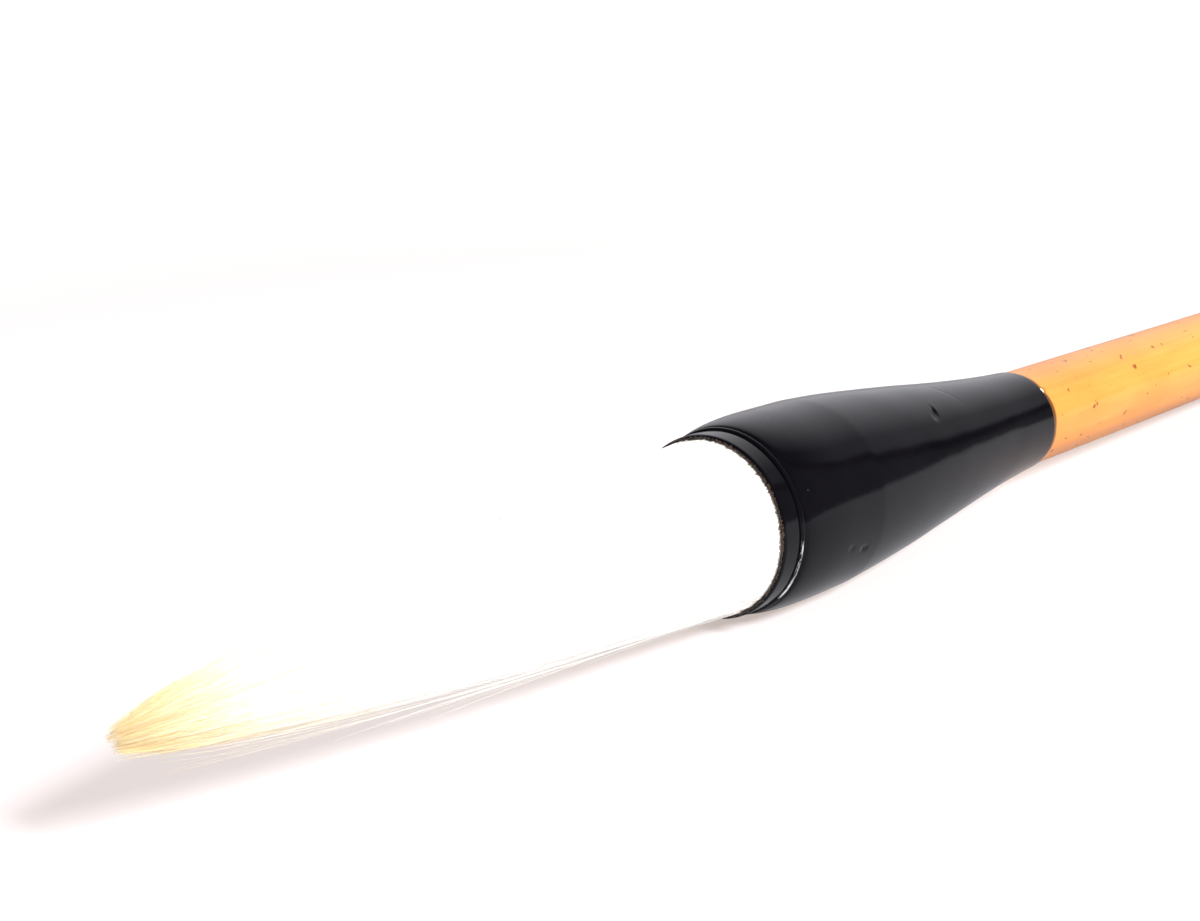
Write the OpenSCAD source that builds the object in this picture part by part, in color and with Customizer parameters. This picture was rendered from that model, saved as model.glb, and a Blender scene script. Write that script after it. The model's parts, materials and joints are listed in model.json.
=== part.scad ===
// Large calligraphy brush: a goat-hair tuft in a turned bell-shaped ferrule, a bamboo
// handle and a turned tail cap with a cord hole.
// Millimetres. The brush lies along X with its tip towards -X, on the plane z = 0. It rests
// on the back edge of the ferrule's drum and on the widest edge of the tail cap.
// Every piece is turned about its own Z first: station 0 is the mouth of the ferrule,
// the hair tip is at minus tuft_len, and the tail is at the positive end.

/* [Tuft] */
// Length of the hair in front of the ferrule's mouth
tuft_len = 70; // [58:0.5:90]
// Radius of the tuft where it leaves the mouth
tuft_r = 9.08; // [7:0.01:11]
// Power of the tuft's taper: 0.5 is a parabola, 1 is a cone
taper_power = 0.54; // [0.45:0.01:0.8]
// Radius of the blunt, uneven hair tip
tip_r = 0.9; // [0.5:0.1:1.5]

/* [Hair layers] */
// Thickness of the outer coat of hair at the mouth
mantle_t = 2.4; // [1.6:0.1:3]
// Distance from the tip at which the outer coat ends
mantle_short = 12; // [6:1:12]
// Thickness of the lining hair at the mouth
lining_t = 2.2; // [1.4:0.1:2.6]
// Distance from the mouth at which the lining hair ends
lining_reach = 40; // [32:1:42]
// Thickness that a layer thins down to at its end
layer_edge = 0.2; // [0.1:0.05:0.4]

/* [Bend] */
// Distance from the mouth to the centre of the tuft's bend
bend_dist = 16; // [12:0.5:18]
// How far the round bend face stands out past the tuft's radius at the bend
bend_margin = 1.6; // [1.2:0.1:2.5]
// Gap between the still hair and the bending hair
bend_gap = 0.3; // [0.2:0.05:0.5]

/* [Hair root] */
// Length of the hair inside the ferrule
root_depth = 18; // [14:0.5:22]
// How much thinner the tied root is than the tuft at the mouth
root_pinch = 0.6; // [0.3:0.05:1]
// Length over which the root narrows
pinch_len = 4; // [2:0.5:6]
// Width of the thread binding
binding_w = 5; // [3:0.5:7]
// Thickness of the thread
binding_t = 0.4; // [0.3:0.05:0.6]
// Distance from the root's end to the binding
binding_inset = 3; // [2:0.5:5]
// Number of turns of thread
binding_turns = 10; // [6:1:14]
// Thickness of the rosin that seals the root's end
seal_t = 1.5; // [1:0.1:2.5]
// Thickness of the glue bed under the root
bed_t = 3; // [1.5:0.5:4]
// Glue gap around the root
root_glue = 0.12; // [0.08:0.01:0.2]
// Width of the resin fillet in front of the mouth
resin_w = 0.5; // [0.3:0.05:0.8]

/* [Ferrule] */
// Length of the stepped lip in front of the bead
lip_len = 2.65; // [2:0.05:4]
// Wall of the lip outside the root's glue
lip_wall = 0.3; // [0.25:0.05:0.6]
// Length of the rounded edge at the mouth
lip_edge = 0.5; // [0.3:0.05:0.8]
// How far the bead stands out past the lip
bead_step = 0.25; // [0.15:0.05:0.5]
// Radius of the bead's round
bead_round = 0.3; // [0.2:0.05:0.4]
// Wall of the drum around the socket, at its thickest
drum_wall = 1.8; // [1.4:0.05:3]
// Length of the drum from the bead to its back edge
drum_len = 14.4; // [10:0.1:20]
// Length of the drum's rounded front
drum_round = 8; // [5:0.5:9]
// Number of fine flats around the drum, which keep a brush that lies down from rolling
drum_flats = 48; // [36:4:60]
// Length of the cone behind the drum
cone_len = 46.4; // [40:0.1:60]
// Share of the cone's outline that is an S-curve instead of straight
cone_ease = 0.45; // [0:0.05:0.8]
// How far the ferrule's back end stands out past the handle
end_step = 0.23; // [0.1:0.01:0.5]

/* [Handle] */
// Radius of the bamboo handle
handle_r = 6.15; // [5:0.05:7.5]
// Length of the handle between the ferrule and the cap
handle_len = 150; // [110:1:200]
// Radius of the culm's hollow
hollow_r = 3; // [2:0.1:3.4]
// Length of the spigot that is glued into the ferrule
spigot_len = 22; // [15:0.5:25]
// Width of the shoulder at the spigot's foot
shoulder_w = 1.25; // [1:0.05:1.5]
// Chamfer on the handle's cut ends
cut_chamfer = 0.25; // [0.1:0.05:0.5]
// Glue gap around the spigot
spigot_glue_t = 0.1; // [0.06:0.01:0.15]
// Glue gap at the spigot's end
spigot_pad = 0.5; // [0.3:0.1:1]

/* [Tail] */
// How far the cap's side stands in from the handle's
cap_inset = 0.1; // [0.05:0.05:0.3]
// Length of the cap's straight collar
collar_len = 6; // [5:0.5:8]
// Length of the hollow curve between the collar and the neck
neck_curve = 3.6; // [2.5:0.1:5]
// Radius of the neck
neck_r = 3.2; // [2.5:0.1:3.6]
// Radius of the knob
knob_r = 4.4; // [4:0.1:5]
// Distance from the neck's curve to the knob's centre
knob_dist = 4; // [3.6:0.1:5]
// Radius of the flat at the knob's end
knob_flat = 1; // [0.5:0.1:1.5]
// Radius of the cord hole
cord_hole_r = 1.25; // [0.8:0.05:1.5]
// Length of the dowel inside the handle
dowel_in_handle = 14; // [8:1:20]
// Length of the dowel inside the cap
dowel_in_cap = 5; // [3:0.5:5]
// Glue gap around the dowel
dowel_glue_t = 0.1; // [0.06:0.01:0.15]
// Glue gap at the dowel's end in the cap
dowel_pad = 0.3; // [0.2:0.1:0.5]

/* [Hidden] */

turn_fn = 96;
eps = 0.01;

// Hair: radii and layer ends
root_r = tuft_r - root_pinch;
root_wall_r = root_r + root_glue;
mantle_end = mantle_short - tuft_len;
lining_end = -lining_reach;
layer_ends = [mantle_end, lining_end];

// Stations close up towards the tip, where the outline turns fastest. The layers' own
// ends are stations too, so that the faces of neighbouring layers lie on each other
station_count = 24;
station_gap = 0.2;
even_front = [for (i = [0:station_count - 1]) tuft_len * (pow(i / station_count, 2) - 1)];
open_front = [for (s = even_front) if (min([for (e = layer_ends) abs(s - e)]) > station_gap) s];
function between(low, high) = [for (s = open_front) if (s > low && s < high) s];
front = concat([-tuft_len], between(-tuft_len, mantle_end), [mantle_end],
    between(mantle_end, lining_end), [lining_end], between(lining_end, -resin_w), [-resin_w]);
stations = concat(front, [0, pinch_len, root_depth]);
function from(first) = [for (s = stations) if (s >= first) s];
function reversed(list) = [for (i = [len(list) - 1:-1:0]) list[i]];

// Outer radius of the tuft and its root at a station
function hair_r(s) =
    s < 0 ? max(tip_r, tuft_r * pow(max(0, 1 + s / tuft_len), taper_power)) :
    s < pinch_len ? tuft_r - root_pinch * s / pinch_len : root_r;

// A layer thins evenly from the mouth to its own end
function layer_t(s, full, end) = layer_edge + (full - layer_edge) * (1 - min(0, s) / end);
function under_mantle(s) = hair_r(s) - layer_t(s, mantle_t, mantle_end);
function under_lining(s) = under_mantle(s) - layer_t(s, lining_t, lining_end);

// Bend between the still hair and the bending hair
bend_ball_r = hair_r(-bend_dist) + bend_margin;

// Ferrule. The drum's flats end inside the cone: how far behind the edge, and how deep
drum_close = 1;
drum_sink = 0.2;
lip_inner_r = tuft_r + root_glue;
lip_r = lip_inner_r + lip_wall;
bead_r = lip_r + bead_step;
drum_r = root_wall_r + drum_wall;
drum_start = lip_len + 2 * bead_round;
drum_end = lip_len + drum_len;
ferrule_end = drum_end + cone_len;
ferrule_end_r = handle_r + end_step;
socket_depth = root_depth + seal_t + bed_t;

// Handle and tail
spigot_r = handle_r - shoulder_w;
spigot_bore_r = spigot_r + spigot_glue_t;
handle_end = ferrule_end + handle_len;
cap_r = handle_r - cap_inset;
collar_end = handle_end + collar_len;
neck_start = collar_end + neck_curve;
knob_centre = neck_start + knob_dist;
dowel_r = hollow_r - dowel_glue_t;
cap_hole_depth = dowel_in_cap + dowel_pad;

// Resting attitude: the tangent line under the drum's back edge and the tail
rest_slope = min((drum_r - handle_r) / (handle_end - drum_end),
                 (drum_r - cap_r) / (collar_end - drum_end));
rest_tilt = atan(rest_slope);
rest_rise = drum_end * sin(rest_tilt) + drum_r * cos(rest_tilt);

// Knob: an arc of a circle from the neck to the end flat
arc_step = 12;
neck_angle = asin(neck_r / knob_r);
flat_angle = 180 - asin(knob_flat / knob_r);
knob_arc_count = round((flat_angle - neck_angle) / arc_step);
knob_points = [for (i = [0:knob_arc_count])
    let (a = neck_angle + (flat_angle - neck_angle) * i / knob_arc_count)
    [knob_r * sin(a), knob_centre - knob_r * cos(a)]];

// Middle of the whole length as it lies
tuft_points = [for (s = front) [hair_r(s), s]];
function lying_x(p, side) = p[1] * cos(rest_tilt) + side * p[0] * sin(rest_tilt);
middle_x = (min([for (p = tuft_points) lying_x(p, -1)])
            + max([for (p = knob_points) lying_x(p, 1)])) / 2;

// Turns a half outline of [radius, station] points about the brush's own axis
module turned(points) rotate_extrude($fn = turn_fn) polygon(points);

// A plain turned tube between two stations
module tube(inner, outer, from, to)
    turned([[inner, from], [outer, from], [outer, to], [inner, to]]);

// Lays a turned piece down in its resting attitude
module lay()
    translate([-middle_x, 0, rest_rise])
        rotate([0, 90 + rest_tilt, 0])
            children();

// The whole of each hair layer, from its end near the tip to the root's end
module core_whole()
    turned(concat(
        [[0, -tuft_len]],
        [for (s = front) if (s <= mantle_end) [hair_r(s), s]],
        [for (s = front) if (s >= mantle_end && s <= lining_end) [under_mantle(s), s]],
        [for (s = from(lining_end)) [under_lining(s), s]],
        [[0, root_depth]]));

module lining_whole()
    turned(concat(
        [for (s = from(lining_end)) [under_mantle(s), s]],
        [for (s = reversed(from(lining_end))) [under_lining(s), s]]));

module mantle_whole()
    difference() {
        turned(concat(
            [for (s = from(mantle_end)) [hair_r(s), s]],
            [for (s = reversed(from(mantle_end))) [under_mantle(s), s]]));
        binding_band(root_r + eps);
    }

// The band of the root that the thread takes up, out to a given radius
module binding_band(outer)
    tube(root_r - binding_t, outer, root_depth - binding_inset - binding_w,
         root_depth - binding_inset);

// The ball about the bend's centre that parts still hair from bending hair
module bend_ball(clearance)
    translate([0, 0, -bend_dist])
        sphere(r = bend_ball_r + clearance, $fn = turn_fn);

// The part of a layer that bends: in front of the bend's centre and outside the ball
module bending()
    lay()
        difference() {
            children();
            bend_ball(bend_gap);
            translate([0, 0, -bend_dist])
                cylinder(r = 2 * tuft_r, h = bend_dist + root_depth + eps, $fn = turn_fn);
        }

// The part of a layer that stays still: inside the ball or behind the bend's centre
module still()
    lay()
        intersection() {
            children();
            union() {
                bend_ball(0);
                translate([0, 0, -bend_dist])
                    cylinder(r = 2 * tuft_r, h = bend_dist + root_depth + eps, $fn = turn_fn);
            }
        }

module core_hair() color("oldlace") bending() core_whole();

module lining_hair() color("antiquewhite") bending() lining_whole();

module mantle_hair() color("ivory") bending() mantle_whole();

module core_root() color("oldlace") still() core_whole();

module lining_root() color("antiquewhite") still() lining_whole();

module mantle_root() color("ivory") still() mantle_whole();

// Thread wound around the root: one round ridge for each turn
module root_binding()
    color("linen")
        lay()
            turned(let (
                start = root_depth - binding_inset - binding_w,
                turn = binding_w / binding_turns,
                rise = binding_t - root_glue)
                concat(
                    [[root_r - binding_t, start]],
                    [for (i = [0:binding_turns - 1], a = [0:45:135])
                        [root_r - rise / 2 * (1 - sin(a)), start + turn * (i + a / 180)]],
                    [[root_r - rise / 2, start + binding_w],
                     [root_r - binding_t, start + binding_w]]));

// Rosin that has soaked into the singed root end and sealed it
module root_seal()
    color("saddlebrown")
        lay()
            translate([0, 0, root_depth])
                cylinder(r = root_r, h = seal_t, $fn = turn_fn);

// Glue around the root and under it
module socket_glue()
    color("tan")
        lay() {
            turned([
                [hair_r(lip_edge), lip_edge],
                [hair_r(lip_edge) + root_glue, lip_edge],
                [root_wall_r, pinch_len],
                [root_wall_r, socket_depth],
                [0, socket_depth],
                [0, root_depth + seal_t],
                [root_r, root_depth + seal_t],
                [root_r, pinch_len]]);
        }

// Resin that wells up between the hair and the lip, with a fillet in front of it
module mouth_resin()
    color("sienna")
        lay()
            turned([
                [hair_r(-resin_w), -resin_w],
                [lip_inner_r + lip_wall / 3, 0],
                [lip_inner_r, 0],
                [hair_r(lip_edge) + root_glue, lip_edge],
                [hair_r(lip_edge), lip_edge],
                [tuft_r, 0]]);

// Outline of the drum's front: a quarter of an ellipse up to the full radius
function drum_front(u) = bead_r - bead_round / 2
    + (drum_r - bead_r + bead_round / 2) * sqrt(1 - pow(1 - u, 2));

// Outline of the cone: part straight, part half a cosine wave
function cone_outline(u) = ferrule_end_r + (drum_r - eps - ferrule_end_r)
    * ((1 - cone_ease) * (1 - u) + cone_ease * (1 + cos(180 * u)) / 2);

// A thin slice of the drum, whose flats lie at radius r with one of them at the bottom
module drum_slice(r, s)
    translate([0, 0, s])
        rotate(180 / drum_flats)
            cylinder(r = r / cos(180 / drum_flats), h = eps, $fn = drum_flats);

// The drum closes inside the cone, so that the two cross cleanly at its back edge
module drum()
    hull() {
        for (u = [0.02, 0.08, 0.18, 0.32, 0.5, 0.72, 1])
            drum_slice(drum_front(u), drum_start + drum_round * u);
        drum_slice(drum_r, drum_end - eps);
        drum_slice(cone_outline(drum_close / cone_len) - drum_sink, drum_end + drum_close);
    }

module ferrule()
    color([0.06, 0.055, 0.07])
        lay()
            difference() {
                union() {
                    turned(concat(
                        [[0, 0],
                         [lip_r - lip_wall / 2, 0],
                         [lip_r, lip_edge],
                         [lip_r, lip_len]],
                        [for (a = [-90:30:90])
                            [bead_r - bead_round * (1 - cos(a)),
                             lip_len + bead_round * (1 + sin(a))]],
                        [[bead_r - bead_round, drum_end]],
                        [for (i = [0:12])
                            [cone_outline(i / 12), drum_end + cone_len * i / 12]],
                        [[0, ferrule_end]]));
                    drum();
                }
                turned([
                    [0, -eps],
                    [lip_inner_r, -eps],
                    [lip_inner_r, 0],
                    [root_wall_r, pinch_len],
                    [root_wall_r, socket_depth],
                    [0, socket_depth]]);
                translate([0, 0, ferrule_end - spigot_len - spigot_pad])
                    cylinder(r = spigot_bore_r, h = spigot_len + spigot_pad + eps, $fn = turn_fn);
            }

// Glue around the spigot and at its end, where it also stops the culm's hollow
module spigot_glue()
    color("wheat")
        lay() {
            tube(spigot_r, spigot_bore_r, ferrule_end - spigot_len, ferrule_end);
            translate([0, 0, ferrule_end - spigot_len - spigot_pad])
                cylinder(r = spigot_bore_r, h = spigot_pad, $fn = turn_fn);
        }

// Hollow bamboo culm, cut down to a spigot at its front
module handle()
    color([0.9, 0.68, 0.36])
        lay()
            difference() {
                turned([
                    [0, ferrule_end - spigot_len],
                    [spigot_r, ferrule_end - spigot_len],
                    [spigot_r, ferrule_end],
                    [handle_r - cut_chamfer, ferrule_end],
                    [handle_r, ferrule_end + cut_chamfer],
                    [handle_r, handle_end - cut_chamfer],
                    [handle_r - cut_chamfer, handle_end],
                    [0, handle_end]]);
                translate([0, 0, ferrule_end - spigot_len - eps])
                    cylinder(r = hollow_r, h = spigot_len + handle_len + 2 * eps, $fn = turn_fn);
            }

// Wooden dowel that joins the cap to the culm
module tail_dowel()
    color("burlywood")
        lay()
            translate([0, 0, handle_end - dowel_in_handle])
                cylinder(r = dowel_r, h = dowel_in_handle + dowel_in_cap, $fn = turn_fn);

// Glue around the dowel, and at its end in the cap
module dowel_glue()
    color("wheat")
        lay() {
            tube(dowel_r, hollow_r, handle_end - dowel_in_handle, handle_end + dowel_in_cap);
            translate([0, 0, handle_end + dowel_in_cap])
                cylinder(r = hollow_r, h = dowel_pad, $fn = turn_fn);
        }

// Turned cap: a collar, a hollow curve down to the neck, and a knob with the cord hole
module tail_cap()
    color([0.06, 0.055, 0.07])
        lay()
            difference() {
                turned(concat(
                    [[0, handle_end],
                     [cap_r - cut_chamfer, handle_end],
                     [cap_r, handle_end + cut_chamfer]],
                    [for (i = [0:8])
                        [neck_r + (cap_r - neck_r) * (1 + cos(180 * i / 8)) / 2,
                         collar_end + neck_curve * i / 8]],
                    knob_points,
                    [[0, knob_centre + knob_r * cos(180 - flat_angle)]]));
                translate([0, 0, handle_end - eps])
                    cylinder(r = hollow_r, h = cap_hole_depth + eps, $fn = turn_fn);
                translate([0, 0, knob_centre])
                    rotate([90, 0, 0])
                        cylinder(r = cord_hole_r, h = 3 * knob_r, center = true, $fn = turn_fn);
            }

core_hair();
lining_hair();
mantle_hair();
core_root();
lining_root();
mantle_root();
root_binding();
root_seal();
socket_glue();
mouth_resin();
ferrule();
spigot_glue();
handle();
tail_dowel();
dowel_glue();
tail_cap();
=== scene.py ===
import json
import math

import bpy
import numpy as np
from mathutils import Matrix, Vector


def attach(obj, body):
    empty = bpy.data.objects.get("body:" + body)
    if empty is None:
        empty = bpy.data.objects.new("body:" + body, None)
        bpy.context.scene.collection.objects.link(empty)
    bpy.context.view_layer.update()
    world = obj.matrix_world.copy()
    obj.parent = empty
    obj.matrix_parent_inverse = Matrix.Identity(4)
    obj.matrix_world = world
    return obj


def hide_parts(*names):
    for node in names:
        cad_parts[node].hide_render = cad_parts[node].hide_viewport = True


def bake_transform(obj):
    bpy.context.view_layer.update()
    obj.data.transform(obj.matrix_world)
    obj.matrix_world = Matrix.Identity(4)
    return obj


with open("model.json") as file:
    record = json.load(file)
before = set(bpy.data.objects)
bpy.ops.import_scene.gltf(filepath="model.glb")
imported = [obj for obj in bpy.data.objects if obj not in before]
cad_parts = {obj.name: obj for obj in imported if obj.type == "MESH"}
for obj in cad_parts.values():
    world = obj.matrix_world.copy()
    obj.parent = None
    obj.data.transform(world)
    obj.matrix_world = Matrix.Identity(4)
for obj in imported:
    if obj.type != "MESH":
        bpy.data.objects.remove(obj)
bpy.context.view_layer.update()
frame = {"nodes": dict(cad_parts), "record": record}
print("frame loaded with", len(frame["nodes"]), "nodes")

# The brush's own axis, from the record: along runs from the hair to the tail
mounts = {mount["name"]: mount for mount in frame["record"]["mounts"]}
grip = mounts["handle_grip"]
along = np.array(grip["axis"], float) / np.linalg.norm(grip["axis"])
sideways = np.array([0.0, 1.0, 0.0])
upward = np.cross(along, sideways)
mm = 0.001


def nodeStations(node):
    # distance of each of a node's points along the brush from the grip's middle, in metres
    mesh = frame["nodes"][node].data
    flat = np.empty(len(mesh.vertices) * 3, np.float32)
    mesh.vertices.foreach_get("co", flat)
    return (flat.reshape(-1, 3) - np.array(grip["pos_m"])) @ along


# Stations are millimetres from the mouth of the ferrule: hair is negative, handle positive
mouth = np.array(grip["pos_m"], float) + nodeStations("ferrule").min() * along
mouthOffset = nodeStations("ferrule").min()
handleStart = (nodeStations("spigot_glue").max() - mouthOffset) / mm
handleEnd = (nodeStations("handle").max() - mouthOffset) / mm
tipStation = (nodeStations("core_hair").min() - mouthOffset) / mm

tuft = {
    "length": -tipStation,    # hair in front of the mouth
    "mouthRadius": 9.08,
    "taper": 0.54,            # power of the distance from the tip
    "tipRadius": 0.8,
    "pinch": 0.6,             # how much thinner the tied root is
    "pinchLength": 4.0,
    "rootDepth": 18.0,
    "droop": 0.35,            # how far the tip hangs below the axis
    "mantle": 2.4,            # thickness of the outer coat at the mouth
    "mantleEnd": -58.0,
    "lining": 2.2,
    "liningEnd": -40.0,
    "layerEdge": 0.2,
    "cover": 0.22,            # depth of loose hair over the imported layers
    "stiffTip": 4.0,          # length at the tip that no longer bends
}


def tuftRadius(station):
    # a power of the distance from the tip, and a slow pinch behind the mouth
    share = np.clip(1 + station / tuft["length"], 0, 1)
    front = np.maximum(tuft["mouthRadius"] * share ** tuft["taper"], tuft["tipRadius"])
    back = tuft["mouthRadius"] - tuft["pinch"] * np.clip(station / tuft["pinchLength"], 0, 1)
    return np.where(station < 0, front, back)


def tuftDroop(station):
    # the hair's own weight lowers it with the square of the distance from the mouth
    return tuft["droop"] * np.square(np.clip(-station / tuft["length"], 0, 1.1))


def onBrush(station, radius, angle, drop=0.0):
    # mouth + station along the axis + radius turned by angle from up towards the far side
    station, radius, angle, drop = np.broadcast_arrays(station, radius, angle, drop)
    height = (radius * np.cos(angle) - drop)[..., None] * upward
    breadth = (radius * np.sin(angle))[..., None] * sideways
    return mouth + mm * (station[..., None] * along + height + breadth)


def makeMesh(name, points, quads, triangles=None):
    # puts whole arrays of points and faces into one mesh object, with its faces outwards
    points = np.asarray(points, float).reshape(-1, 3)
    triangles = np.empty((0, 3), int) if triangles is None else triangles
    a, b, c, d = (points[quads[:, i]] for i in range(4))
    volume = np.einsum("ij,ij->i", a, np.cross(b, c) + np.cross(c, d)).sum()
    if len(triangles):
        e, f, g = (points[triangles[:, i]] for i in range(3))
        volume += np.einsum("ij,ij->i", e, np.cross(f, g)).sum()
    if volume < 0:
        quads, triangles = quads[:, ::-1], triangles[:, ::-1]
    corners = np.concatenate([quads.ravel(), triangles.ravel()])
    starts = np.concatenate([np.arange(len(quads)) * 4,
                             len(quads) * 4 + np.arange(len(triangles)) * 3])
    mesh = bpy.data.meshes.new(name)
    mesh.vertices.add(len(points))
    mesh.vertices.foreach_set("co", points.astype(np.float32).ravel())
    mesh.loops.add(len(corners))
    mesh.loops.foreach_set("vertex_index", corners.astype(np.int32))
    mesh.polygons.add(len(starts))
    mesh.polygons.foreach_set("loop_start", starts.astype(np.int32))
    mesh.polygons.foreach_set("use_smooth", np.ones(len(starts), bool))
    mesh.update(calc_edges=True)
    piece = bpy.data.objects.new(name, mesh)
    bpy.context.scene.collection.objects.link(piece)
    return piece


def pointAttribute(piece, name, values):
    attribute = piece.data.attributes.new(name, "FLOAT", "POINT")
    attribute.data.foreach_set("value", np.asarray(values, np.float32).ravel())


def gridQuads(rows, columns, closedRows=False):
    # faces between neighbours of a grid whose columns go right round
    row = np.arange(rows if closedRows else rows - 1)[:, None]
    column = np.arange(columns)[None, :]
    nextRow, nextColumn = (row + 1) % rows, (column + 1) % columns
    corners = [row * columns + column, row * columns + nextColumn,
               nextRow * columns + nextColumn, nextRow * columns + column]
    return np.stack(corners, -1).reshape(-1, 4)


def endFans(rows, columns):
    # triangles that close a grid's first and last rows, round two points added after the grid's own
    column = np.arange(columns)
    beside = (column + 1) % columns
    last = (rows - 1) * columns
    middle = np.full(columns, rows * columns)
    return np.concatenate([np.stack([middle, beside, column], -1),
                           np.stack([middle + 1, last + column, last + beside], -1)])


def roundAngles(columns):
    return np.arange(columns) / columns * 2 * np.pi


def spokes(angle):
    # unit vectors away from the brush's axis and round it
    cosine, sine = np.cos(angle)[..., None], np.sin(angle)[..., None]
    return cosine * upward + sine * sideways, -sine * upward + cosine * sideways


def spreadOutline(outline, columns):
    # an outline of [radius, station] points copied round every column, as station and radius
    return np.repeat(outline[:, 1:], columns, 1), np.repeat(outline[:, :1], columns, 1)


def angleFrom(angle, degrees):
    # the shorter way round from a direction in degrees, in radians
    return np.angle(np.exp(1j * (angle - math.radians(degrees))))


def turnedPiece(name, station, radius, hollow, drop=0.0):
    # a half outline turned about the brush's axis: rows follow it and columns go round it
    rows, columns = radius.shape
    points = onBrush(station, radius, roundAngles(columns)[None, :], drop).reshape(-1, 3)
    if hollow:
        return makeMesh(name, points, gridQuads(rows, columns, True))
    ends = onBrush(station[[0, -1], 0], 0.0, 0.0, np.broadcast_to(drop, radius.shape)[[0, -1], 0])
    return makeMesh(name, np.concatenate([points, ends]), gridQuads(rows, columns),
                    endFans(rows, columns))


def densify(outline, spacing):
    # adds points along each straight stretch of an outline, so that none is longer than spacing
    outline = np.asarray(outline, float)
    filled = [outline[:1]]
    for start, end in zip(outline[:-1], outline[1:]):
        steps = max(1, math.ceil(np.hypot(*(end - start)) / spacing))
        filled.append(start + (end - start) * (np.arange(1, steps + 1) / steps)[:, None])
    return np.concatenate(filled)


def quarterRound(centre, radius, fromDegrees, toDegrees, count=6):
    # points on an arc of a circle, as [radius, station]
    angle = np.radians(np.linspace(fromDegrees, toDegrees, count))
    return [[centre[0] + radius * math.cos(a), centre[1] + radius * math.sin(a)] for a in angle]


def smoothNoise(seed, rows, columns, rowWaves, columnWaves, count=9):
    # a sum of a few seeded waves over a grid, periodic round the columns, about -1 to 1
    random = np.random.default_rng(seed)
    row = np.linspace(0, 1, rows)[:, None]
    angle = roundAngles(columns)[None, :]
    total = np.zeros((rows, columns))
    for _ in range(count):
        turns = random.integers(1, columnWaves + 1)
        phase = random.uniform(0, 2 * np.pi, 2)
        slant = np.sin(row * rowWaves * random.uniform(1, 3) + phase[1]) * 2
        total += np.sin(turns * angle + phase[0] + slant)
    return total / math.sqrt(count)


# Node helpers, the shared effects and the materials
def addNode(tree, kind, inputs=None, **settings):
    node = tree.nodes.new(kind)
    for key, value in settings.items():
        setattr(node, key, value)
    for key, value in (inputs or {}).items():
        if isinstance(value, bpy.types.NodeSocket):
            tree.links.new(value, node.inputs[key])
        else:
            node.inputs[key].default_value = value
    return node


def newGroup(name, inputs, outputs):
    group = bpy.data.node_groups.new(name, "ShaderNodeTree")
    for label, value in inputs.items():
        socket = group.interface.new_socket(label, in_out="INPUT", socket_type="NodeSocketFloat")
        socket.default_value = value
    for label in outputs:
        group.interface.new_socket(label, in_out="OUTPUT", socket_type="NodeSocketFloat")
    return group, group.nodes.new("NodeGroupInput"), group.nodes.new("NodeGroupOutput")


def brushVector(tree):
    # Object coordinates turned and moved to the brush's own axis, X along it
    coordinate = addNode(tree, "ShaderNodeTexCoord")
    tilt = math.atan2(-along[2], along[0])
    return addNode(tree, "ShaderNodeMapping", {"Vector": coordinate.outputs["Object"],
                   "Location": tuple(mouth), "Rotation": (0.0, tilt, 0.0)},
                   vector_type="TEXTURE").outputs["Vector"]


def stretchedNoise(tree, alongScale, acrossScale, detail, offset=0.0):
    # noise with its own scale along and across the brush
    scale = addNode(tree, "ShaderNodeCombineXYZ", {"X": alongScale, "Y": acrossScale, "Z": acrossScale})
    stretched = addNode(tree, "ShaderNodeVectorMath", {0: brushVector(tree), 1: scale.outputs[0]},
                        operation="MULTIPLY")
    moved = addNode(tree, "ShaderNodeVectorMath", {0: stretched.outputs[0], 1: (offset, offset, offset)},
                    operation="ADD")
    return addNode(tree, "ShaderNodeTexNoise", {"Vector": moved.outputs[0], "Scale": 1.0,
                   "Detail": detail, "Roughness": 0.6}).outputs["Fac"]


def mapRange(tree, value, fromLow, fromHigh, toLow=0.0, toHigh=1.0):
    return addNode(tree, "ShaderNodeMapRange", {"Value": value, "From Min": fromLow,
                   "From Max": fromHigh, "To Min": toLow, "To Max": toHigh}).outputs["Result"]


def makeStreakGroup():
    # long grain or fine rings: noise drawn out along or round the brush
    values = {"Along": 40.0, "Across": 900.0, "Low": 0.3, "High": 0.7}
    group, source, sink = newGroup("streaks", values, ["Value"])
    noise = stretchedNoise(group, source.outputs["Along"], source.outputs["Across"], 4.0)
    result = mapRange(group, noise, source.outputs["Low"], source.outputs["High"])
    group.links.new(result, sink.inputs["Value"])
    return group


def makeSpeckGroup():
    # scattered flecks: only the peaks of a noise that is a little longer than it is wide
    values = {"Along": 300.0, "Across": 700.0, "Start": 0.7, "Full": 0.76}
    group, source, sink = newGroup("specks", values, ["Mask"])
    noise = stretchedNoise(group, source.outputs["Along"], source.outputs["Across"], 1.5, 7.3)
    result = mapRange(group, noise, source.outputs["Start"], source.outputs["Full"])
    group.links.new(result, sink.inputs["Mask"])
    return group


streakGroup = makeStreakGroup()
speckGroup = makeSpeckGroup()


def fillGroup(tree, group, inputs):
    # a shared effect with its own values
    node = tree.nodes.new("ShaderNodeGroup")
    node.node_tree = group
    for key, value in inputs.items():
        node.inputs[key].default_value = value
    return node.outputs[0]


def newMaterial(name, roughness, coat=0.0, ior=1.5, sheen=0.0):
    material = bpy.data.materials.new(name)
    material.use_nodes = True
    tree = material.node_tree
    shader = tree.nodes["Principled BSDF"]
    shader.inputs["Roughness"].default_value = roughness
    shader.inputs["Coat Weight"].default_value = coat
    shader.inputs["IOR"].default_value = ior
    shader.inputs["Sheen Weight"].default_value = sheen
    return material, tree, shader


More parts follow.
